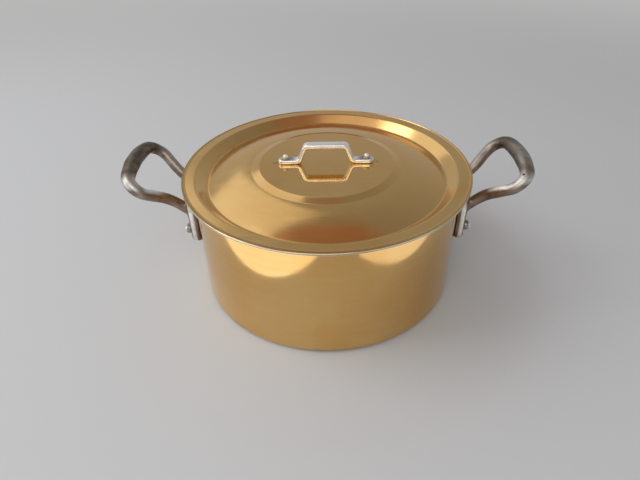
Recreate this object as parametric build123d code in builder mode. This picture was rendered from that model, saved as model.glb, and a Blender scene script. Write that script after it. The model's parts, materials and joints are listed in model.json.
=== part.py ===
from build123d import *
import os
from math import asin, cos, degrees, pi, radians, sin, sqrt, tan

# A round two-handled copper cooking pot with a lift-off lid.
# Origin: centre of the base's underside. +Z up, +X through the side handles. Millimetres.

# Pot: a straight-sided copper shell with a thin bright metal lining
pot_radius = 120.0
pot_height = 112.0
corner_radius = 5.0
copper_wall = 1.8
lining_wall = 0.3
rim_round = 0.5

# Lid: flat flange, a step that drops inside the pot, a domed panel and a raised flat disc
lid_overhang = 8.5
lid_copper = 1.5
lid_lining_wall = 0.3
lid_edge_round = 0.5
lid_seat_gap = 0.2
lid_wall_gap = 0.6
lid_slope = 41.0
lid_drop = 8.2
panel_rise = 1.4
panel_slope = 5.0
disc_radius = 60.0
disc_step_width = 7.0
disc_step_height = 2.0
flange_bend = 2.8
valley_bend = 2.5
panel_bend = 5.0
disc_bend = 4.0

# Lid handle: a bent metal strap with two flat round-ended feet
strap_thickness = 4.0
strap_width = 8.4
strap_edge_round = 1.3
strap_bend = 4.0
bar_half_length = 18.1
bar_clearance = 14.5
leg_run = 5.7
lid_foot_offset = 5.0
lid_foot_length = 14.0
lid_foot_width = 8.4
lid_foot_round = 0.8

# Side handles: a tapered cast bar bent to a loop, tilted up and out, on two flat feet
handle_tilt = 39.0
handle_rise = 15.3
handle_reach = 67.4
grip_bow = 8.0
corner_half_width = 44.8
corner_bend = 13.3
neck_reach = 24.2
neck_bend = 32.0
bar_start = 3.0
arm_diameter = 10.0
grip_diameter = 13.5
grip_share = 0.62
bar_sections = 64
foot_spacing = 45.0
foot_width = 16.0
foot_thickness = 8.5
foot_tip = 14.0
foot_tip_round = 5.5
foot_edge_round = 2.5
foot_root = 2.0

# Rivets: a domed head outside, a shank through its hole and a flatter head inside
body_rivet_drop = 48.0
body_rivet_shank = 3.0
body_rivet_head = 4.7
body_rivet_rim = 1.0
body_rivet_cap = 4.6
lid_rivet_inset = 6.6
lid_rivet_shank = 1.8
lid_rivet_head = 2.9
lid_rivet_rim = 1.7
lid_rivet_cap = 2.7
inner_rim_share = 0.5
inner_cap_share = 0.35
rivet_fit = 0.05
drill_margin = 3.0

# Radii and heights that follow from the sizes above
inner_radius = pot_radius - copper_wall - lining_wall
lid_radius = pot_radius + lid_overhang
lid_thickness = lid_copper + lid_lining_wall
lid_top = pot_height + lid_seat_gap + lid_thickness
bend_radius = inner_radius - lid_wall_gap - lid_thickness * tan(radians(lid_slope / 2))
valley_radius = bend_radius - lid_drop / tan(radians(lid_slope))
panel_radius = disc_radius + disc_step_width
panel_top = lid_top + panel_rise
disc_top = panel_top + disc_step_height
strap_middle = disc_top + strap_thickness / 2
bar_middle = strap_middle + bar_clearance
leg_half_spread = bar_half_length + leg_run
lid_foot_place = leg_half_spread + lid_foot_offset + lid_foot_length / 2
lid_rivet_place = lid_foot_place + lid_foot_length / 2 - lid_rivet_inset
rivet_height = pot_height - body_rivet_drop
handle_height = rivet_height + handle_rise

# A foot runs from its tip below the rivet up past the height where the arm leaves it
foot_angle = degrees(asin(foot_spacing / 2 / pot_radius))
foot_face_x = (pot_radius + foot_thickness) * cos(radians(foot_angle))
arm_exit_rise = handle_rise + (foot_face_x - pot_radius) * tan(radians(handle_tilt))
foot_rise = arm_exit_rise + foot_width / 2
foot_length = foot_rise + foot_tip

# The plane of the right handle's loop: X outward along the tilt, Y along the grip
handle_plane = Plane(
    origin=(pot_radius, 0, handle_height),
    x_dir=(cos(radians(handle_tilt)), 0, sin(radians(handle_tilt))),
    z_dir=(-sin(radians(handle_tilt)), 0, cos(radians(handle_tilt))),
)

# Where each foot meets the wall, as a turn about Z in degrees
foot_turns = {
    "right_front": -foot_angle,
    "right_rear": foot_angle,
    "left_front": 180 + foot_angle,
    "left_rear": 180 - foot_angle,
}


def wall_plane(turn, distance):
    """A plane square to the pot's radius at a rivet, with its Y axis up."""
    out = Vector(cos(radians(turn)), sin(radians(turn)), 0)
    side = Vector(-sin(radians(turn)), cos(radians(turn)), 0)
    return Plane(origin=out * distance + Vector(0, 0, rivet_height), x_dir=side, z_dir=out)


def lid_band(depth):
    """The lid's section from its top surface down by depth, as a face in the XZ plane."""
    with BuildSketch(Plane.XZ) as band:
        with BuildLine() as top:
            Line((0, disc_top), (disc_radius, disc_top))
            Line((disc_radius, disc_top), (panel_radius, panel_top))
            TangentArc(
                (panel_radius, panel_top),
                (valley_radius, lid_top - lid_drop),
                tangent=(cos(radians(panel_slope)), -sin(radians(panel_slope))),
            )
            Line((valley_radius, lid_top - lid_drop), (bend_radius, lid_top))
            Line((bend_radius, lid_top), (lid_radius, lid_top))
            corners = top.vertices().sort_by(Axis.X)
            fillet(corners[-2], flange_bend)
            fillet(corners[-3], valley_bend)
            fillet(corners[-4], panel_bend)
            fillet(corners[-5], disc_bend)
            offset(amount=depth, side=Side.RIGHT)
        make_face()
    return band.sketch


def cap_arc(head, edge, height):
    """A spherical cap's arc from the axis to its edge; a negative height points down."""
    ball = (head**2 + height**2) / (2 * abs(height))
    half_angle = asin(head / ball) / 2
    fall = height / abs(height) * ball * (1 - cos(half_angle))
    ThreePointArc((0, edge + height), (ball * sin(half_angle), edge + height - fall), (head, edge))


def rivet(place, shank, head, rim, cap, grip):
    """A rivet standing on its outer seat: domed head, shank through the grip, low inner head."""
    inner_edge = -grip - rim * inner_rim_share
    inner_cap = cap * inner_cap_share
    with BuildPart() as fastener:
        with BuildSketch(Plane.XZ):
            with BuildLine():
                cap_arc(head, rim, cap)
                Polyline((head, rim), (head, 0), (shank, 0))
                Polyline((shank, 0), (shank, -grip), (head, -grip), (head, inner_edge))
                cap_arc(head, inner_edge, -inner_cap)
                Line((0, inner_edge - inner_cap), (0, rim + cap))
            make_face()
        revolve(axis=Axis.Z)
    return place.location * fastener.part


def bar_radius(share):
    """Radius of the handle's bar, share being 0 at the middle of the grip and 1 at a foot."""
    swell = cos(pi / 2 * min(share / grip_share, 1)) ** 2
    return arm_diameter / 2 + (grip_diameter - arm_diameter) / 2 * swell


# What the body rivets' holes take away from lining, shell and feet
with BuildPart() as wall_holes:
    for turn in foot_turns.values():
        with BuildSketch(wall_plane(turn, inner_radius - drill_margin)):
            Circle(body_rivet_shank + rivet_fit)
        extrude(amount=pot_radius - inner_radius + foot_thickness + 2 * drill_margin)

# What the lid rivets' holes take away from the lid and its handle
with BuildPart() as lid_holes:
    with BuildSketch(Plane.XY.offset(disc_top + strap_thickness + drill_margin)):
        with Locations((-lid_rivet_place, 0), (lid_rivet_place, 0)):
            Circle(lid_rivet_shank + rivet_fit)
    extrude(amount=-(strap_thickness + lid_thickness + 2 * drill_margin))

# Copper shell
with BuildPart() as copper_body:
    with BuildSketch():
        Circle(pot_radius)
    extrude(amount=pot_height)
    fillet(copper_body.edges().group_by(Axis.Z)[0], corner_radius)
    offset(amount=-copper_wall, openings=copper_body.faces().sort_by(Axis.Z)[-1])
    fillet(copper_body.edges().group_by(Axis.Z)[-1].sort_by(SortBy.RADIUS)[-1], rim_round)
    add(wall_holes.part, mode=Mode.SUBTRACT)
copper_body.part.label = "copper_body"

# Bright metal lining inside the shell
with BuildPart() as body_lining:
    with BuildSketch(Plane.XY.offset(copper_wall)):
        Circle(pot_radius - copper_wall)
    extrude(amount=pot_height - copper_wall)
    fillet(body_lining.edges().group_by(Axis.Z)[0], corner_radius - copper_wall)
    offset(amount=-lining_wall, openings=body_lining.faces().sort_by(Axis.Z)[-1])
    add(wall_holes.part, mode=Mode.SUBTRACT)
body_lining.part.label = "body_lining"

# Lid plate
with BuildPart() as lid_plate:
    with BuildSketch(Plane.XZ) as plate_section:
        add(lid_band(lid_copper))
        outer_corners = plate_section.vertices().sort_by(Axis.X)[-2:]
        fillet(outer_corners.sort_by(Axis.Y)[-1], lid_edge_round)
    revolve(axis=Axis.Z)
    add(lid_holes.part, mode=Mode.SUBTRACT)
lid_plate.part.label = "lid_plate"

# Bright metal lining under the lid plate
with BuildPart() as lid_lining:
    with BuildSketch(Plane.XZ):
        add(lid_band(lid_thickness))
        add(lid_band(lid_copper), mode=Mode.SUBTRACT)
    revolve(axis=Axis.Z)
    add(lid_holes.part, mode=Mode.SUBTRACT)
lid_lining.part.label = "lid_lining"

# The lid handle's two feet, rounded on top
with BuildPart() as lid_feet:
    with BuildSketch(Plane.XY.offset(disc_top)):
        with Locations((-lid_foot_place, 0), (lid_foot_place, 0)):
            SlotOverall(lid_foot_length, lid_foot_width)
    extrude(amount=strap_thickness)
    fillet(lid_feet.edges().group_by(Axis.Z)[-1], lid_foot_round)

# Lid handle: the strap bent up and over, joined to its feet
with BuildPart() as lid_handle:
    with BuildLine(Plane.XZ) as strap_path:
        FilletPolyline(
            (-lid_foot_place, strap_middle),
            (-leg_half_spread, strap_middle),
            (-bar_half_length, bar_middle),
            (bar_half_length, bar_middle),
            (leg_half_spread, strap_middle),
            (lid_foot_place, strap_middle),
            radius=strap_bend,
        )
    with BuildSketch(Plane(origin=strap_path.wire() @ 0, x_dir=(0, 1, 0), z_dir=(1, 0, 0))):
        RectangleRounded(strap_width, strap_thickness, strap_edge_round)
    sweep()
    add(lid_feet.part)
    add(lid_holes.part, mode=Mode.SUBTRACT)
lid_handle.part.label = "lid_handle"

# Middle line of the side handle's bar: a bowed grip, two bent corners and two bent arms
outward = Axis(handle_plane.origin, handle_plane.x_dir)
with BuildLine(handle_plane) as bar_path:
    ThreePointArc(
        (handle_reach - grip_bow, -corner_half_width),
        (handle_reach, 0),
        (handle_reach - grip_bow, corner_half_width),
    )
    for side in (-1, 1):
        Polyline(
            (handle_reach - grip_bow, side * corner_half_width),
            (neck_reach, side * foot_spacing / 2),
            (bar_start, side * foot_spacing / 2),
        )
    fillet(bar_path.vertices().sort_by(outward)[-2:], corner_bend)
    fillet(bar_path.vertices().sort_by(outward)[2:4], neck_bend)

# One handle foot lying on its back, its rivet at the origin: round ends and a thinned tip
with BuildPart() as foot:
    with BuildSketch(Plane.XY.offset(-foot_root)):
        with Locations((0, (foot_rise - foot_tip) / 2)):
            SlotOverall(foot_length, foot_width, rotation=90)
    extrude(amount=foot_thickness + foot_root)
    fillet(foot.faces().sort_by(Axis.Z)[-1].edges(), foot_edge_round)
    with BuildSketch(Plane.YZ):
        with BuildLine():
            Line((-foot_tip, foot_thickness - foot_tip_round), (-foot_tip, foot_thickness))
            Line((-foot_tip, foot_thickness), (foot_tip_round - foot_tip, foot_thickness))
            TangentArc(
                (foot_tip_round - foot_tip, foot_thickness),
                (-foot_tip, foot_thickness - foot_tip_round),
                tangent=(-1, 0),
            )
        make_face()
    extrude(amount=foot_width, both=True, mode=Mode.SUBTRACT)

# The right handle's two feet against the wall
with BuildPart() as handle_feet:
    for turn in (-foot_angle, foot_angle):
        add(wall_plane(turn, pot_radius).location * foot.part)

# Right handle: round sections along the bar, joined to its feet and fitted to the wall
with BuildPart() as right_handle:
    middle_line = bar_path.wire()
    for step in range(bar_sections + 1):
        along = step / bar_sections
        section_plane = Plane(
            origin=middle_line @ along,
            x_dir=handle_plane.z_dir,
            z_dir=middle_line % along,
        )
        with BuildSketch(section_plane):
            Circle(bar_radius(abs(2 * along - 1)))
    loft()
    add(handle_feet.part)
    with BuildSketch():
        Circle(pot_radius)
    extrude(amount=pot_height, mode=Mode.SUBTRACT)
    add(wall_holes.part, mode=Mode.SUBTRACT)
right_handle.part.label = "right_handle"

# Left handle: the right one mirrored
with BuildPart() as left_handle:
    mirror(right_handle.part, about=Plane.YZ)
left_handle.part.label = "left_handle"

# Body rivets, one through each foot, and lid rivets, one through each end of the lid handle
body_grip = foot_thickness + pot_radius - sqrt(inner_radius**2 - body_rivet_head**2)
lid_grip = strap_thickness + lid_thickness
rivets = []
for name, turn in foot_turns.items():
    seat = wall_plane(turn, pot_radius + foot_thickness)
    piece = rivet(seat, body_rivet_shank, body_rivet_head, body_rivet_rim, body_rivet_cap, body_grip)
    piece.label = f"{name}_rivet"
    rivets.append(piece)
for name, place in (("left", -lid_rivet_place), ("right", lid_rivet_place)):
    seat = Plane(origin=(place, 0, disc_top + strap_thickness))
    piece = rivet(seat, lid_rivet_shank, lid_rivet_head, lid_rivet_rim, lid_rivet_cap, lid_grip)
    piece.label = f"lid_rivet_{name}"
    rivets.append(piece)

# One file for each piece
shells = [copper_body.part, body_lining.part, lid_plate.part, lid_lining.part]
handles = [right_handle.part, left_handle.part, lid_handle.part]
os.makedirs("parts", exist_ok=True)
for piece in shells + handles + rivets:
    export_step(piece, f"parts/{piece.label}.step")
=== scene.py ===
import json
from math import asin, ceil, cos, hypot, pi, radians, sin, tan

import bmesh
import bpy
from mathutils import Matrix, Vector, noise


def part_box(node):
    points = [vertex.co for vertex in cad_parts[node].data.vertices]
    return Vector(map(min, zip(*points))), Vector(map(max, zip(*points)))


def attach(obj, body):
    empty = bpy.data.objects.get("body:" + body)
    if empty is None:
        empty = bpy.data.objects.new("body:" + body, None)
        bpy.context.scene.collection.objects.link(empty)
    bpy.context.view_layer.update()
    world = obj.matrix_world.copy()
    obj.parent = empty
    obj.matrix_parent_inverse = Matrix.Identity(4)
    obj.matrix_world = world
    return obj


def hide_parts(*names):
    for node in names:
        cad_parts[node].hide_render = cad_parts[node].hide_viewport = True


# A polished copper cooking pot with its lid on, on a pale floor. Metres, +Z up.

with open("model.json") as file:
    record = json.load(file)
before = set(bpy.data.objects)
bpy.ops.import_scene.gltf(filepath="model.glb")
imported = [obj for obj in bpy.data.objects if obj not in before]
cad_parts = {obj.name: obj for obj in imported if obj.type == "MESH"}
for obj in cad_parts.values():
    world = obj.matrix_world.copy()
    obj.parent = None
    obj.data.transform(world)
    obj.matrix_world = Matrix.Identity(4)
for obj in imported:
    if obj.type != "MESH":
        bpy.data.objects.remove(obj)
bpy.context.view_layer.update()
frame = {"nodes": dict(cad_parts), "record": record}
scene = bpy.context.scene
nodes = frame["nodes"]
bodies = frame["record"]["behaviour"]["bodies"]
body_of = {node: body for body, members in bodies.items() for node in members}
slot_of = {part["node"]: part["material_slot"] for part in frame["record"]["subparts"]}

# The pot's shell
pot_low, pot_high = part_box("copper_body")
pot_radius = pot_high.x
pot_height = pot_high.z
copper_wall = 0.0018
corner_radius = 0.005
rim_round = 0.0005

# The lid's plate, from its flange in to the raised disc, with the radius of each bend
lid_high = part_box("lid_plate")[1]
lid_radius = lid_high.x
lid_copper = 0.0015
lid_top = 0.114
flange_radius, flange_bend = 0.11663, 0.0028
valley_radius, valley_bend = 0.10719, 0.0025
valley_floor = lid_top - 0.0082
panel_radius, panel_bend = 0.067, 0.005
panel_top = lid_top + 0.0014
panel_slope = radians(5)
disc_radius, disc_bend = 0.060, 0.004
disc_top = lid_high.z
dome_steps = 14

# How finely the round pieces are drawn
ring_points = 320
longest_edge = 0.004
edge_guard = 0.0004
bend_step = radians(7)


def mirrored(x, y, z):
    """A place on the left of the pot and its twin on the right."""
    return [(-x, y, z), (x, y, z)]


# Places of wear, tarnish, damage, darkening and painted highlights and reflections that the photograph
# shows
handle_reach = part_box("right_handle")[1].x
handle_feet = mirrored(0.117, -0.0225, 0.071) + mirrored(0.117, 0.0225, 0.071)
worn_lit_corners = mirrored(0.1665, -0.0355, 0.113)
worn_lit_arms = mirrored(0.153, -0.031, 0.107)
lit_rear_arms = mirrored(0.146, 0.031, 0.105)
lit_grip_spot = (0.169, -0.008, 0.122)
handle_pit = (0.1643, -0.0351, 0.1221)
lid_handle_feet = mirrored(0.036, 0.0035, disc_top)
lid_rivet_tops = mirrored(0.0345, 0.0, disc_top + 0.004)
lid_streaks = mirrored(0.0455, 0.0, disc_top)

# Camera, from the ellipses that the rim, the wall and the base make in the photograph
focal_pixels = 500.0
image_width = 640.0
sensor_width = 36.0
camera_place = Vector((0.0016, -0.4014, 0.3313))
camera_forward = Vector((-0.01761, 0.79957, -0.60032))
camera_right = Vector((0.99977, 0.00695, -0.02008))


class Tree:
    """Adds nodes to a node tree and joins them up."""

    def __init__(self, tree):
        self.tree = tree

    def add(self, kind, **inputs):
        """A new node, with a value or a link for each input that is given."""
        node = self.tree.nodes.new(kind)
        self.feed(node, inputs)
        return node

    def feed(self, node, inputs):
        """Sets or links inputs, each by its name with _ for a space, or by its number as in i0."""
        for name, value in inputs.items():
            key = int(name[1:]) if name[1:].isdigit() else name.replace("_", " ")
            socket = node.inputs[key]
            if isinstance(value, bpy.types.NodeSocket):
                self.tree.links.new(value, socket)
            elif value is not None:
                socket.default_value = value

    def math(self, operation, first, second=0.0, clamp=False):
        node = self.add("ShaderNodeMath", i0=first, i1=second)
        node.operation = operation
        node.use_clamp = clamp
        return node.outputs[0]

    def times(self, first, second):
        return self.math("MULTIPLY", first, second)

    def plus(self, first, second):
        return self.math("ADD", first, second)


class Finish(Tree):
    """Builds one material's node tree; most calls add nodes and return their output."""

    def __init__(self, name):
        self.material = bpy.data.materials.new(name)
        self.material.use_nodes = True
        super().__init__(self.material.node_tree)
        self.shader = self.tree.nodes["Principled BSDF"]
        texture = self.add("ShaderNodeTexCoord")
        self.place = texture.outputs["Object"]
        self.x, self.y, self.z = self.add("ShaderNodeSeparateXYZ", Vector=self.place).outputs
        self.facing = self.add("ShaderNodeSeparateXYZ", Vector=texture.outputs["Normal"]).outputs
        squares = [self.times(axis, axis) for axis in (self.x, self.y)]
        self.radius = self.math("SQRT", self.plus(*squares))

    def vector(self, operation, first, second=None):
        node = self.add("ShaderNodeVectorMath", i0=first, i1=second)
        node.operation = operation
        return node

    def noise(self, vector, scale=1.0, detail=3.0, roughness=0.5, distortion=0.0):
        node = self.add("ShaderNodeTexNoise", Vector=vector, Scale=scale, Detail=detail,
                        Roughness=roughness, Distortion=distortion)
        return node.outputs["Fac"]

    def cells(self, scale, feature="F1"):
        """The distance to the nearest of many scattered points."""
        node = self.add("ShaderNodeTexVoronoi", Vector=self.place, Scale=scale)
        node.feature = feature
        return node.outputs["Distance"]

    def spread(self, value, low, high, to_low=0.0, to_high=1.0):
        """A value carried smoothly from the range low to high over to another range."""
        node = self.add("ShaderNodeMapRange", Value=value, From_Min=low, From_Max=high,
                        To_Min=to_low, To_Max=to_high)
        node.interpolation_type = "SMOOTHSTEP"
        return node.outputs["Result"]

    def fall(self, value, low, high):
        """1 up to low, fading smoothly to 0 at high."""
        return self.spread(value, low, high, 1.0, 0.0)

    def mix(self, share, first, second):
        """One colour faded into another."""
        node = self.tree.nodes.new("ShaderNodeMix")
        node.data_type = "RGBA"
        self.feed(node, {"i0": share, "i6": first, "i7": second})
        return node.outputs[2]

    def bump(self, height, distance, below=None):
        """Bump of that depth in metres, on top of another bump where one is given."""
        node = self.add("ShaderNodeBump", Strength=1.0, Distance=distance, Height=height, Normal=below)
        return node.outputs["Normal"]

    def most(self, *values):
        """The largest of several values."""
        top = values[0]
        for value in values[1:]:
            top = self.math("MAXIMUM", top, value)
        return top

    def near(self, points, inner, outer):
        """1 within inner of any of the points, fading to 0 at outer."""
        spots = []
        for point in points:
            offset = self.vector("SUBTRACT", self.place, point).outputs[0]
            distance = self.vector("LENGTH", offset).outputs["Value"]
            spots.append(self.fall(distance, inner, outer))
        return self.most(*spots)

    def round_place(self, around, across):
        """A vector whose features run round the Z axis: slow along a circle, fast across it."""
        safe = self.math("MAXIMUM", self.radius, 0.001)
        joined = self.add("ShaderNodeCombineXYZ",
                          X=self.times(self.math("DIVIDE", self.x, safe), around),
                          Y=self.times(self.math("DIVIDE", self.y, safe), around),
                          Z=self.times(self.plus(self.radius, self.z), across))
        return joined.outputs[0]

    def stretched(self, turn, along, across):
        """The object's place, tilted, turned about Z and stretched, for lines in one direction."""
        node = self.add("ShaderNodeMapping", Vector=self.place, Rotation=(0.3, 0.2, turn),
                        Scale=(along, across, across))
        return node.outputs[0]

    def hairlines(self, turn, along, across, threshold):
        """Fine straight scratches in one direction, rarer with a higher threshold."""
        marks = self.noise(self.stretched(turn, along, across), detail=1.0, roughness=0.4)
        return self.spread(marks, threshold, 0.80)

    def coat(self, colour, metallic, rough, normal):
        """Sets the shader's own inputs and gives the finished material."""
        self.feed(self.shader, {"Base_Color": colour, "Metallic": metallic,
                                "Roughness": rough, "Normal": normal})
        return self.material


def copper_material(name, light, deep, shine, haze):
    """Polished copper: spun lines round the axis, smears, hairlines, a few dings, darker tarnish and
    darker places.
    """
    gold_streak = (0.86, 0.58, 0.26, 1)
    dark_copper = (0.40, 0.19, 0.09, 1)
    fresh_scratch = (0.95, 0.70, 0.44, 1)
    bare_edge = (0.88, 0.74, 0.50, 1)
    n = Finish(name)
    lines = n.noise(n.round_place(around=1.2, across=2600.0), detail=2.0, roughness=0.6)
    bands = n.noise(n.round_place(around=1.6, across=240.0), detail=3.0, roughness=0.6)
    clouds = n.noise(n.place, scale=15.0, detail=3.0, roughness=0.5, distortion=0.3)
    streaky = n.stretched(turn=0.7, along=16.0, across=46.0)
    smears = n.noise(streaky, detail=4.0, roughness=0.55, distortion=1.2)
    waves = n.noise(n.place, scale=11.0, detail=1.0, roughness=0.4)
    scratches = n.most(n.hairlines(turn=0.5, along=24.0, across=1500.0, threshold=0.70),
                       n.hairlines(turn=2.1, along=20.0, across=1300.0, threshold=0.71))
    ding = n.fall(n.cells(scale=34.0), 0.0, 0.045)

    # Tarnish where polishing doesn't reach: the lid's valley and round the side handles' feet; darker
    # too toward the wall's foot, round the lid handle's feet and just past their tips
    foot_height = 0.012
    foot = n.spread(n.z, pot_low.z, foot_height, to_low=0.55, to_high=0.0)
    from_valley = n.math("ABSOLUTE", n.math("SUBTRACT", n.radius, valley_radius))
    on_lid = n.spread(n.z, valley_floor - 0.0058, valley_floor - 0.0018)
    valley = n.times(n.spread(from_valley, 0.0006, 0.0050, to_low=0.30, to_high=0.0), on_lid)
    feet = n.times(n.near(handle_feet, inner=0.010, outer=0.021), 0.75)
    lid_feet = n.near(lid_handle_feet, inner=0.0045, outer=0.0125)
    streaks = n.times(n.near(lid_streaks, inner=0.001, outer=0.0065), 0.55)
    darker_places = n.most(foot, valley, feet, lid_feet, streaks)
    ragged = n.noise(n.place, scale=90.0, detail=4.0, roughness=0.6, distortion=0.8)
    dull = n.spread(n.plus(ragged, n.times(darker_places, 0.62)), 0.72, 1.12)

    # Colour: two tones of copper in clouds, golden streaks, tarnish and darker places, scratches and
    # the lid's cut edge
    colour = n.mix(n.spread(clouds, 0.35, 0.65), light, deep)
    colour = n.mix(n.spread(bands, 0.40, 0.72, to_high=0.15), colour, gold_streak)
    colour = n.mix(n.times(dull, 0.80), colour, dark_copper)
    colour = n.mix(n.times(scratches, 0.30), colour, fresh_scratch)
    cut_edge = n.spread(n.radius, lid_radius - 0.0007, lid_radius - 0.0001, to_high=0.7)
    colour = n.mix(cut_edge, colour, bare_edge)

    # Roughness: shine where it is polished, haze in the smears, a glossier disc on the lid
    rough = n.spread(smears, 0.38, 0.74, to_low=shine, to_high=shine + haze)
    rough = n.plus(rough, n.times(lines, haze * 0.5))
    rough = n.times(rough, n.spread(n.radius, disc_radius - 0.004, disc_radius + 0.012, to_low=0.5))
    rough = n.plus(rough, n.times(dull, 0.20))
    rough = n.math("ADD", rough, n.times(scratches, 0.05), clamp=True)

    skin = n.bump(waves, 0.00010)
    skin = n.bump(lines, 0.0000012, skin)
    skin = n.bump(bands, 0.0000012, skin)
    skin = n.bump(scratches, -0.0000035, skin)
    skin = n.bump(ding, -0.000006, skin)
    return n.coat(colour, 1.0, rough, skin)


def lining_material():
    """Satin bright metal, brushed round the axis, with faint stains."""
    grey = (0.66, 0.655, 0.64, 1)
    pale_grey = (0.76, 0.755, 0.74, 1)
    stain = (0.50, 0.46, 0.40, 1)
    n = Finish("satin_lining")
    lines = n.noise(n.round_place(around=2.0, across=2400.0), detail=3.0, roughness=0.65)
    clouds = n.noise(n.place, scale=30.0, detail=4.0, roughness=0.6, distortion=0.8)
    clean = n.mix(n.spread(lines, 0.3, 0.7), grey, pale_grey)
    colour = n.mix(n.spread(clouds, 0.56, 0.80, to_high=0.5), clean, stain)
    rough = n.spread(clouds, 0.3, 0.7, to_low=0.24, to_high=0.34)
    rough = n.plus(rough, n.times(lines, 0.08))
    return n.coat(colour, 1.0, rough, n.bump(lines, 0.000004))


def iron_material():
    """Cast iron gone brown, polished by hands: bright where it is worn and with painted highlights,
    mottled on the grips.
    """
    brown = (0.320, 0.235, 0.185, 1)
    dark_brown = (0.190, 0.132, 0.100, 1)
    olive = (0.215, 0.180, 0.140, 1)
    dark_olive = (0.135, 0.105, 0.080, 1)
    pit_black = (0.03, 0.025, 0.02, 1)
    worn_and_lit_iron = (0.93, 0.90, 0.84, 1)
    foot_edge_inner = 0.1246
    foot_edge_outer = 0.1264
    foot_edge_fade = 0.0016
    n = Finish("worn_cast_iron")
    out = n.math("ABSOLUTE", n.x)
    face_x = n.math("ABSOLUTE", n.facing[0])
    face_y = n.math("ABSOLUTE", n.facing[1])
    face_z = n.facing[2]
    mottle = n.noise(n.place, scale=170.0, detail=5.0, roughness=0.65, distortion=0.4)
    grain = n.noise(n.place, scale=900.0, detail=3.0, roughness=0.7)
    patches = n.noise(n.place, scale=55.0, detail=3.0, roughness=0.55, distortion=0.5)
    sparse = n.spread(n.noise(n.place, scale=120.0, detail=2.0, roughness=0.5), 0.52, 0.66)
    fine_pits = n.times(n.fall(n.cells(scale=420.0), 0.0, 0.22), sparse)
    pit = n.most(fine_pits, n.near([handle_pit], inner=0.0007, outer=0.0016))

    # Worn bright and with painted highlights, broken up by the mottle: the front corners and the arms'
    # upper sides
    broken = n.spread(n.plus(mottle, n.times(patches, 0.6)), 0.58, 0.95, to_low=0.58)
    outward = n.plus(face_z, n.times(face_x, 0.7))
    worn_lit_corner = n.times(n.near(worn_lit_corners, inner=0.004, outer=0.016), n.spread(outward, 0.15, 0.65))
    worn_lit_arm = n.times(n.near(worn_lit_arms, inner=0.005, outer=0.017), n.spread(face_z, 0.30, 0.75))
    # A painted highlight along the rear arms' upper sides
    rear_arm_highlight = n.times(n.near(lit_rear_arms, inner=0.010, outer=0.024),
                       n.spread(face_z, 0.30, 0.80, to_high=0.4))
    bright = n.times(n.most(worn_lit_arm, worn_lit_corner, rear_arm_highlight), broken)

    # Worn bright with a painted highlight too: the feet's outer edges; and a fainter painted highlight
    # on the top of the right grip
    edge = n.times(n.spread(n.radius, foot_edge_inner - foot_edge_fade, foot_edge_inner),
                   n.fall(n.radius, foot_edge_outer, foot_edge_outer + foot_edge_fade))
    edge = n.times(edge, n.spread(face_y, 0.26, 0.50))
    edge = n.times(edge, n.spread(broken, 0.58, 1.0, to_low=0.65, to_high=0.92))
    grip_highlight = n.times(n.near([lit_grip_spot], inner=0.012, outer=0.034), n.spread(face_z, 0.15, 0.75))
    grip_highlight = n.times(grip_highlight, n.spread(mottle, 0.36, 0.64, to_low=0.08, to_high=0.36))
    bright = n.most(bright, edge, grip_highlight)
    bright = n.times(bright, n.fall(pit, 0.2, 0.8))

    # Colour: brown arms and feet, olive grips, dark pits
    grip = n.spread(out, handle_reach - 0.026, handle_reach - 0.014)
    arm_colour = n.mix(n.spread(patches, 0.35, 0.68), brown, dark_brown)
    grip_colour = n.mix(n.spread(mottle, 0.38, 0.64), olive, dark_olive)
    colour = n.mix(grip, arm_colour, grip_colour)
    colour = n.mix(n.times(pit, 0.85), colour, pit_black)
    colour = n.mix(bright, colour, worn_and_lit_iron)
    rough = n.spread(mottle, 0.30, 0.72, to_low=0.38, to_high=0.52)
    rough = n.math("SUBTRACT", rough, n.times(bright, 0.06), clamp=True)

    skin = n.bump(mottle, 0.00018)
    skin = n.bump(grain, 0.00003, skin)
    skin = n.bump(pit, -0.00015, skin)
    return n.coat(colour, 1.0, rough, skin)


def nickel_material():
    """Polished white metal, rubbed by hand: very bright, with fine lines and small dents."""
    white = (0.96, 0.97, 0.98, 1)
    grey = (0.80, 0.80, 0.82, 1)
    painted_dark_reflection = (0.20, 0.21, 0.22, 1)
    n = Finish("polished_white_metal")
    clouds = n.noise(n.place, scale=120.0, detail=3.0, roughness=0.6)
    lines = n.noise(n.stretched(turn=0.0, along=60.0, across=2600.0), detail=2.0, roughness=0.5)
    dents = n.noise(n.place, scale=150.0, detail=2.0, roughness=0.5)
    clean = n.mix(n.spread(clouds, 0.45, 0.80), white, grey)
    # A painted dark reflection on the upward faces of the handle's feet round the lid rivets
    round_rivets = n.near(lid_rivet_tops, inner=0.0030, outer=0.0085)
    dark_reflection_share = n.times(round_rivets, n.spread(n.facing[2], 0.80, 0.97))
    colour = n.mix(n.times(dark_reflection_share, 0.80), clean, painted_dark_reflection)
    rough = n.spread(clouds, 0.3, 0.7, to_low=0.15, to_high=0.26)
    rough = n.plus(rough, n.times(lines, 0.06))
    skin = n.bump(dents, 0.00003)
    skin = n.bump(lines, 0.0000010, skin)
    return n.coat(colour, 0.75, rough, skin)


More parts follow.
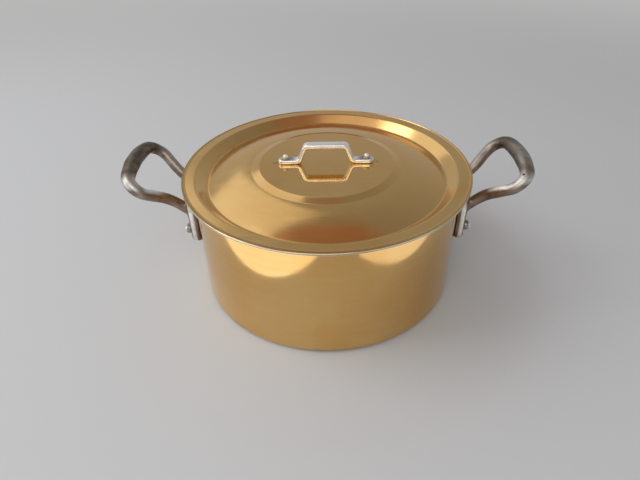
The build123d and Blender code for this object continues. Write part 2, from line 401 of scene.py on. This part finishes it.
def rivet_material(name, bright, dull, shaded_flank, axis, rough, metallic):
    """A hammered rivet: facets from the hammer, a painted highlight on the crown along its axis and
    painted shade on its flanks.
    """
    n = Finish(name)
    facets = n.cells(scale=520.0, feature="SMOOTH_F1")
    stains = n.noise(n.place, scale=320.0, detail=3.0, roughness=0.6)
    # Painted highlight where the face looks along the axis, painted shade on the flanks
    lit_crown = n.spread(n.math("ABSOLUTE", n.facing[axis]), 0.25, 0.60)
    mottled = n.mix(n.spread(stains, 0.42, 0.72), bright, dull)
    colour = n.mix(lit_crown, shaded_flank, mottled)
    uneven_rough = n.spread(stains, 0.3, 0.7, to_low=rough, to_high=rough + 0.14)
    return n.coat(colour, metallic, uneven_rough, n.bump(facets, 0.00016))


def dress(thing, material):
    """Gives every face of an object one material."""
    thing.data.materials.clear()
    thing.data.materials.append(material)


def stand_in(name, node, mesh):
    """Makes a smooth piece of a mesh, in place of a CAD node and on that node's body."""
    mesh.shade_smooth()
    piece = bpy.data.objects.new(name, mesh)
    scene.collection.objects.link(piece)
    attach(piece, body_of[node])
    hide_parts(node)
    return piece


def evaluated(thing):
    """The mesh that an object's modifiers make."""
    return bpy.data.meshes.new_from_object(thing.evaluated_get(bpy.context.evaluated_depsgraph_get()))


def smoothed(thing, rounds):
    """Adds a modifier that relaxes an object's mesh."""
    soften = thing.modifiers.new("soften", "SMOOTH")
    soften.factor = 0.5
    soften.iterations = rounds
    return soften


def round_off(mesh, inner, outer, rounds):
    """Softens a mesh near the pot's wall, fully within the inner radius, not at all past the outer."""
    whole = bpy.data.objects.new("whole", mesh)
    scene.collection.objects.link(whole)
    group = whole.vertex_groups.new(name="feet")
    for vertex in mesh.vertices:
        share = (outer - hypot(vertex.co.x, vertex.co.y)) / (outer - inner)
        if share > 0:
            group.add([vertex.index], min(share, 1), "REPLACE")
    smoothed(whole, rounds).vertex_group = group.name
    softer = evaluated(whole)
    bpy.data.objects.remove(whole)
    return softer


def wear_down(node, cell, rounds, lump, lump_size, seed, regain=0.0):
    """A smooth cast copy of a CAD node: remeshed fine, its joins softened, its skin a little uneven."""
    merge_distance = 0.000002
    inward = 0.35
    mesh = nodes[node].data.copy()
    work = bmesh.new()
    work.from_mesh(mesh)
    bmesh.ops.remove_doubles(work, verts=work.verts, dist=merge_distance)
    work.to_mesh(mesh)
    work.free()
    raw = bpy.data.objects.new(node + "_raw", mesh)
    scene.collection.objects.link(raw)
    remesh = raw.modifiers.new("remesh", "REMESH")
    remesh.mode = "VOXEL"
    remesh.voxel_size = cell
    smoothed(raw, rounds)
    made = evaluated(raw)
    bpy.data.objects.remove(raw)
    if slot_of[node] == "cast_iron":
        made = round_off(made, inner=0.131, outer=0.138, rounds=70)

    # The skin is moved along its normals by noise, mostly inwards, and kept inside the node's box
    shift = Vector((seed, seed * 0.37, seed * 0.71))
    outward = [vertex.normal.copy() for vertex in made.vertices]
    low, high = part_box(node)
    for vertex, normal in zip(made.vertices, outward):
        uneven = noise.noise(vertex.co / lump_size + shift) - inward
        moved = vertex.co + normal * (uneven * lump + regain)
        vertex.co = [min(max(value, least), most) for value, least, most in zip(moved, low, high)]
    return stand_in(node + "_cast", node, made)


def bent(corners):
    """Points along a profile given as corners (radius, height, bend), each bend a true arc."""
    path = []
    for k, (radius, height, bend) in enumerate(corners):
        here = Vector((radius, height))
        if bend == 0:
            path.append(here)
            continue
        back = (Vector(corners[k - 1][:2]) - here).normalized()
        ahead = (Vector(corners[k + 1][:2]) - here).normalized()
        turned = pi - back.angle(ahead)
        middle = here + (back + ahead).normalized() * bend / cos(turned / 2)
        start = here + back * bend * tan(turned / 2) - middle
        sense = 1 if back.x * ahead.y - back.y * ahead.x < 0 else -1
        steps = max(5, ceil(turned / bend_step))
        for step in range(steps + 1):
            path.append(middle + Matrix.Rotation(sense * turned * step / steps, 2) @ start)
    return path


def filled(path):
    """The same profile with more points: one close to each end of a long piece and none far apart."""
    full = [path[0]]
    for first, last in zip(path, path[1:]):
        length = (last - first).length
        if length > 4 * edge_guard:
            near_first, near_last = edge_guard / length, 1 - edge_guard / length
            count = ceil(length / longest_edge)
            even = [k / count for k in range(1, count) if near_first < k / count < near_last]
            full += [first.lerp(last, stop) for stop in [near_first, *even, near_last]]
        full.append(last)
    return full


def shifted(path, depth):
    """A profile moved by depth to its right-hand side."""
    moved = []
    for k, here in enumerate(path):
        before = path[max(k - 1, 0)]
        after = path[min(k + 1, len(path) - 1)]
        along = (here - before).normalized() + (after - here).normalized()
        along.normalize()
        moved.append(here + Vector((along.y, -along.x)) * depth)
    moved[0].x = path[0].x
    moved[-1].x = path[-1].x
    return moved


def pot_profile():
    """The shell's outline: flat base, round corner, straight wall, soft rim, and down the inside."""
    inner_radius = pot_radius - copper_wall
    return filled(bent([(0, 0, 0),
                        (pot_radius, 0, corner_radius),
                        (pot_radius, pot_height, rim_round),
                        (inner_radius, pot_height, 0),
                        (inner_radius, copper_wall, corner_radius - copper_wall),
                        (0, copper_wall, 0)]))


def dome_corners():
    """The lid's dome, an arc that leaves the panel's edge gently and steepens to the valley."""
    drop = panel_top - valley_floor
    chord = hypot(valley_radius - panel_radius, drop)
    steepest = 2 * asin(drop / chord) - panel_slope
    dome_radius = chord / (2 * sin((steepest - panel_slope) / 2))
    dome = []
    for step in range(1, dome_steps):
        heading = panel_slope + (steepest - panel_slope) * step / dome_steps
        dome.append((panel_radius + dome_radius * (sin(heading) - sin(panel_slope)),
                     panel_top - dome_radius * (cos(panel_slope) - cos(heading)), 0))
    return dome


def lid_profile():
    """The plate's outline: disc, step, dome, valley, slope, flange, cut edge, and back underneath."""
    top = filled(bent([(0, disc_top, 0),
                       (disc_radius, disc_top, disc_bend),
                       (panel_radius, panel_top, panel_bend),
                       *dome_corners(),
                       (valley_radius, valley_floor, valley_bend),
                       (flange_radius, lid_top, flange_bend),
                       (lid_radius, lid_top, 0)]))
    under = shifted(top, lid_copper)
    edge = bent([(top[-2].x, lid_top, 0),
                 (lid_radius, lid_top, rim_round),
                 (lid_radius, lid_top - lid_copper, 0)])
    return top[:-1] + edge[1:] + under[-2::-1]


def lathe_ring(form, radius, height):
    """The vertices of one ring, or the single one where the profile meets the axis."""
    on_axis = 1e-6
    if radius < on_axis:
        return [form.verts.new((0, 0, height))]
    angles = [2 * pi * k / ring_points for k in range(ring_points)]
    return [form.verts.new((radius * cos(angle), radius * sin(angle), height)) for angle in angles]


def lathe(name, node, profile, unevenness, seed):
    """A round piece turned from a profile that starts and ends on the Z axis, a little uneven."""
    ripples = 14
    form = bmesh.new()
    rings = [lathe_ring(form, radius, height) for radius, height in profile]
    for lower, upper in zip(rings, rings[1:]):
        for k in range(ring_points):
            after = (k + 1) % ring_points
            if len(lower) == 1:
                form.faces.new((lower[0], upper[after], upper[k]))
            elif len(upper) == 1:
                form.faces.new((lower[k], lower[after], upper[0]))
            else:
                form.faces.new((lower[k], lower[after], upper[after], upper[k]))
    bmesh.ops.recalc_face_normals(form, faces=form.faces)
    form.normal_update()
    for vertex in form.verts:
        swell = noise.noise(vertex.co * ripples + Vector((seed, 0, 0))) * 0.5 + 0.5
        vertex.co -= vertex.normal * (unevenness * swell)
    mesh = bpy.data.meshes.new(name)
    form.to_mesh(mesh)
    form.free()
    return stand_in(name, node, mesh)


pot_copper = copper_material("pot_copper", light=(0.770, 0.495, 0.200, 1),
                             deep=(0.730, 0.440, 0.155, 1), shine=0.055, haze=0.070)
lid_finish = copper_material("lid_copper", light=(0.820, 0.530, 0.215, 1),
                             deep=(0.785, 0.480, 0.172, 1), shine=0.125, haze=0.085)
steel_rivet = rivet_material("hammered_steel", bright=(0.92, 0.94, 0.91, 1), dull=(0.60, 0.58, 0.54, 1),
                             shaded_flank=(0.34, 0.33, 0.30, 1), axis=0, rough=0.24, metallic=0.9)
pale_rivet = rivet_material("pale_rivet", bright=(0.96, 0.93, 0.78, 1), dull=(0.84, 0.78, 0.58, 1),
                            shaded_flank=(0.62, 0.56, 0.42, 1), axis=2, rough=0.34, metallic=0.5)
finish_of = {"copper": pot_copper, "lining": lining_material(), "cast_iron": iron_material(),
             "nickel": nickel_material(), "rivet": steel_rivet, "lid_rivet": pale_rivet}
for node, part in nodes.items():
    dress(part, finish_of[slot_of[node]])

# Spun copper: the pot's shell and the lid's plate
dress(lathe("copper_shell", "copper_body", pot_profile(), unevenness=0.00008, seed=4.2), pot_copper)
dress(lathe("copper_lid", "lid_plate", lid_profile(), unevenness=0.00005, seed=8.6), lid_finish)

# Cast side handles
for seed, node in enumerate(("right_handle", "left_handle"), 1):
    handle = wear_down(node, cell=0.0006, rounds=8, lump=0.00030, lump_size=0.011, seed=seed * 3.1)
    dress(handle, finish_of["cast_iron"])

# Bent lid handle, its strap well rounded and brought back to its full thickness
strap = wear_down("lid_handle", cell=0.00030, rounds=70, lump=0.00008, lump_size=0.009, seed=9.3,
                  regain=0.00008)
dress(strap, finish_of["nickel"])

# Hammered rivets, the lid's a little smaller than their solids
for seed, node in enumerate(nodes):
    if "rivet" in node:
        worn = 0.00022 if slot_of[node] == "lid_rivet" else 0.0
        rivet = wear_down(node, cell=0.00022, rounds=2, lump=0.00010, lump_size=0.0016,
                          seed=seed * 1.7, regain=-worn)
        dress(rivet, finish_of[slot_of[node]])


def pale_floor():
    """A plain floor that turns into an even glow far from the pot, as bright as the horizon."""
    half = 30.0
    gap = 0.0002
    glow_start, glow_full = 0.5, 1.7
    mesh = bpy.data.meshes.new("floor")
    corners = [(-half, -half, 0), (half, -half, 0), (half, half, 0), (-half, half, 0)]
    mesh.from_pydata(corners, [], [(0, 1, 2, 3)])
    floor = bpy.data.objects.new("floor", mesh)
    floor.location.z = -gap
    scene.collection.objects.link(floor)
    paper = Finish("pale_floor")
    paper.feed(paper.shader, {"Base_Color": (0.68, 0.705, 0.725, 1), "Roughness": 0.75})
    glow = paper.add("ShaderNodeEmission", Color=(0.475, 0.475, 0.472, 1), Strength=1.0)
    join = paper.add("ShaderNodeMixShader", Fac=paper.spread(paper.radius, glow_start, glow_full),
                     i1=paper.shader.outputs[0], i2=glow.outputs[0])
    paper.feed(paper.tree.nodes["Material Output"], {"Surface": join.outputs[0]})
    dress(floor, paper.material)


def studio_world():
    """Pale at the horizon, quieter and warmer overhead, and above the horizon quieter on the right."""
    levels = [(0.0, (0.50, 0.50, 0.497, 1)), (0.34, (0.44, 0.44, 0.44, 1)),
              (0.70, (0.34, 0.34, 0.34, 1)), (0.885, (0.29, 0.28, 0.275, 1)),
              (0.910, (0.34, 0.20, 0.165, 1)), (1.0, (0.31, 0.20, 0.165, 1))]
    world = bpy.data.worlds.new("studio")
    world.use_nodes = True
    sky = Tree(world.node_tree)
    direction = sky.add("ShaderNodeTexCoord")
    x, _, z = sky.add("ShaderNodeSeparateXYZ", Vector=direction.outputs["Generated"]).outputs
    fade = sky.add("ShaderNodeValToRGB", Fac=z)
    while len(fade.color_ramp.elements) < len(levels):
        fade.color_ramp.elements.new(1.0)
    for stop, (place, colour) in zip(fade.color_ramp.elements, levels):
        stop.position = place
        stop.color = colour
    above = sky.add("ShaderNodeMapRange", Value=z, From_Max=0.2)
    sideways = sky.times(x, above.outputs["Result"])
    side_fade = sky.add("ShaderNodeMapRange", Value=sideways, From_Min=-0.8, From_Max=0.8,
                        To_Min=1.15, To_Max=0.75)
    tone = sky.add("ShaderNodeVectorMath")
    tone.operation = "SCALE"
    sky.feed(tone, {"i0": fade.outputs[0], "Scale": side_fade.outputs["Result"]})
    sky.feed(world.node_tree.nodes["Background"], {"Color": tone.outputs[0]})
    return world


def area_lamp(name, size, level):
    """A rectangular lamp as bright as a glowing surface of that level."""
    lamp = bpy.data.lights.new(name, "AREA")
    lamp.shape = "RECTANGLE"
    lamp.size, lamp.size_y = size
    lamp.energy = level * pi * size[0] * size[1]
    holder = bpy.data.objects.new(name, lamp)
    scene.collection.objects.link(holder)
    return holder


def softbox(name, azimuth, elevation, distance, size, level):
    """A lamp that looks at the pot, placed by its direction."""
    holder = area_lamp(name, size, level)
    flat = distance * cos(radians(elevation))
    aim = Vector((flat * cos(radians(azimuth)), flat * sin(radians(azimuth)),
                  distance * sin(radians(elevation))))
    holder.location = aim + Vector((0, 0, pot_height / 2))
    holder.rotation_euler = aim.to_track_quat("Z", "Y").to_euler()


def floor_card(name, azimuth, near_edge, size, level):
    """A glowing card flat on the floor for the wall to mirror, its near edge that far from the axis."""
    lift = 0.001
    holder = area_lamp(name, size, level)
    reach = near_edge + size[0] / 2
    holder.location = (reach * cos(radians(azimuth)), reach * sin(radians(azimuth)), lift)
    holder.rotation_euler = (pi, 0, radians(azimuth))
    holder.data.spread = radians(150)
    holder.visible_camera = False


pale_floor()
scene.world = studio_world()
softbox("main_card", azimuth=181, elevation=50, distance=2.2, size=(1.3, 1.0), level=2.5)
softbox("rear_card", azimuth=140, elevation=47, distance=2.3, size=(2.2, 1.5), level=0.50)
softbox("left_strip", azimuth=188, elevation=16, distance=1.7, size=(0.7, 0.45), level=3.2)
softbox("front_card", azimuth=265, elevation=42, distance=1.7, size=(1.2, 1.0), level=1.4)
softbox("ceiling_card", azimuth=245, elevation=68, distance=2.2, size=(1.5, 0.9), level=0.45)
floor_card("left_floor_card", azimuth=228, near_edge=0.202, size=(0.25, 0.30), level=0.90)
floor_card("right_floor_card", azimuth=318, near_edge=0.216, size=(0.20, 0.24), level=0.65)

# Camera
up = camera_right.cross(camera_forward).normalized()
turn = Matrix((camera_right, up, -camera_forward)).transposed()
camera = bpy.data.objects.new("camera", bpy.data.cameras.new("camera"))
camera.data.sensor_width = sensor_width
camera.data.lens = focal_pixels / image_width * sensor_width
camera.data.clip_start = 0.01
camera.matrix_world = Matrix.Translation(camera_place) @ turn.to_4x4()
scene.collection.objects.link(camera)
scene.camera = camera
scene.view_settings.view_transform = "Standard"
